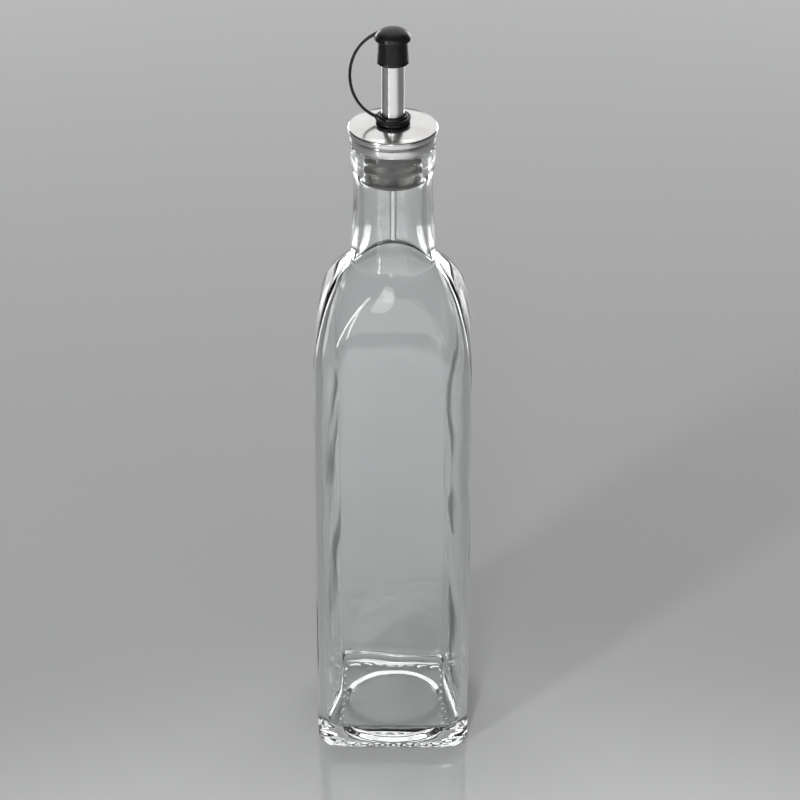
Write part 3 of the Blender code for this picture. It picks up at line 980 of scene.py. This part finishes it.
class Finish:
    """A material with a Principled shader and short ways to add texture nodes to it."""

    def __init__(self, name):
        self.material = bpy.data.materials.new(name)
        self.material.use_nodes = True
        self.nodes = self.material.node_tree.nodes
        self.links = self.material.node_tree.links
        self.shader = self.nodes["Principled BSDF"]
        self.place = self.nodes.new("ShaderNodeTexCoord").outputs["Object"]

    def set(self, **values):
        """Sets the shader's inputs, with _ for the spaces in their names."""
        for name, value in values.items():
            self.shader.inputs[name.replace("_", " ")].default_value = value

    def feed(self, source, name):
        """Links a node's output to one of the shader's inputs."""
        self.links.new(source, self.shader.inputs[name])

    def noise(self, scale, detail=2.0, stretch=(1.0, 1.0, 1.0)):
        """Noise in the object's own space, with its coordinates scaled by stretch first."""
        mapping = self.nodes.new("ShaderNodeMapping")
        mapping.inputs["Scale"].default_value = stretch
        self.links.new(self.place, mapping.inputs["Vector"])
        texture = self.nodes.new("ShaderNodeTexNoise")
        texture.inputs["Scale"].default_value = scale
        texture.inputs["Detail"].default_value = detail
        self.links.new(mapping.outputs["Vector"], texture.inputs["Vector"])
        return texture.outputs["Fac"]

    def ranged(self, source, low, high):
        """Values from low to high where the noise runs from its low to its high."""
        node = self.nodes.new("ShaderNodeMapRange")
        node.inputs["From Min"].default_value = NOISE_LOW
        node.inputs["From Max"].default_value = NOISE_HIGH
        node.inputs["To Min"].default_value = low
        node.inputs["To Max"].default_value = high
        self.links.new(source, node.inputs["Value"])
        return node.outputs["Result"]

    def colours(self, source, low, high):
        """Colours from low to high where the noise runs from its low to its high."""
        node = self.nodes.new("ShaderNodeValToRGB")
        stops = ((NOISE_LOW, low), (NOISE_HIGH, high))
        for element, (position, colour) in zip(node.color_ramp.elements, stops):
            element.position = position
            element.color = (*colour, 1.0)
        self.links.new(source, node.inputs["Fac"])
        return node.outputs["Color"]

    def bump(self, source, strength, distance):
        """Normals of a surface that the source raises by up to the distance."""
        node = self.nodes.new("ShaderNodeBump")
        node.inputs["Strength"].default_value = strength
        node.inputs["Distance"].default_value = distance
        self.links.new(source, node.inputs["Height"])
        return node.outputs["Normal"]


def glass_material():
    """Clear soda-lime glass with a faint grey-green cast and a slightly uneven skin."""
    finish = Finish("clear_glass")
    finish.set(Roughness=0.0, IOR=1.52, Transmission_Weight=1.0)
    tint = finish.noise(scale=18.0)
    finish.feed(finish.colours(tint, (0.955, 0.972, 0.965), (0.965, 0.98, 0.975)), "Base Color")
    swell = finish.noise(scale=90.0, detail=1.0)
    finish.feed(finish.bump(swell, strength=0.05, distance=1.0 * MM), "Normal")
    return finish.material


def steel_material():
    """Polished stainless steel with fine polishing lines and faint handling marks."""
    finish = Finish("polished_steel")
    finish.set(Metallic=1.0)
    tone = finish.noise(scale=140.0, detail=3.0)
    finish.feed(finish.colours(tone, (0.66, 0.65, 0.635), (0.74, 0.735, 0.72)), "Base Color")
    marks = finish.noise(scale=260.0, detail=4.0)
    finish.feed(finish.ranged(marks, low=0.13, high=0.22), "Roughness")
    lines = finish.noise(scale=900.0, detail=3.0, stretch=(1.0, 1.0, 0.04))
    finish.feed(finish.bump(lines, strength=0.06, distance=0.05 * MM), "Normal")
    return finish.material


def plastic_material():
    """Clear moulded plastic, a little cloudy, its yellow-grey colour darkened as painted shade for
    the dark surroundings seen through it.
    """
    finish = Finish("clear_plastic")
    finish.set(IOR=1.49, Transmission_Weight=1.0, Roughness=0.28)
    tint = finish.noise(scale=120.0)
    # Dark smoky tint: painted shade standing in for the dark surroundings seen through the clear
    # plug, not the plastic's own colour
    finish.feed(finish.colours(tint, (0.14, 0.13, 0.117), (0.2, 0.188, 0.172)), "Base Color")
    skin = finish.noise(scale=500.0, detail=2.0)
    finish.feed(finish.bump(skin, strength=0.08, distance=0.1 * MM), "Normal")
    return finish.material


def rubber_material():
    """Satin black rubber with a fine grain."""
    finish = Finish("black_rubber")
    finish.set(Specular_IOR_Level=0.35)
    tone = finish.noise(scale=300.0, detail=4.0)
    finish.feed(finish.colours(tone, (0.006, 0.006, 0.0065), (0.012, 0.0115, 0.013)), "Base Color")
    sheen = finish.noise(scale=420.0, detail=3.0)
    finish.feed(finish.ranged(sheen, low=0.26, high=0.36), "Roughness")
    grain = finish.noise(scale=2600.0, detail=3.0)
    finish.feed(finish.bump(grain, strength=0.12, distance=0.04 * MM), "Normal")
    return finish.material


def main():
    bpy.context.scene.view_settings.view_transform = "Standard"
    build_camera()
    build_floor()
    build_world()
    build_light()
    steel = steel_material()
    build_glass(glass_material())
    build_cover(steel)
    build_plug(plastic_material())
    for name, node, radius, bore, bottom, top in (
        ("spout_steel", "spout_tube", SPOUT_RADIUS, SPOUT_BORE, SPOUT_BOTTOM_Z, SPOUT_TOP_Z),
        ("vent_steel", "vent_tube", VENT_RADIUS, VENT_BORE, VENT_BOTTOM_Z, VENT_TOP_Z),
    ):
        build_tube(name, node, radius, bore, bottom, top, steel)
    build_rubber(rubber_material())


main()
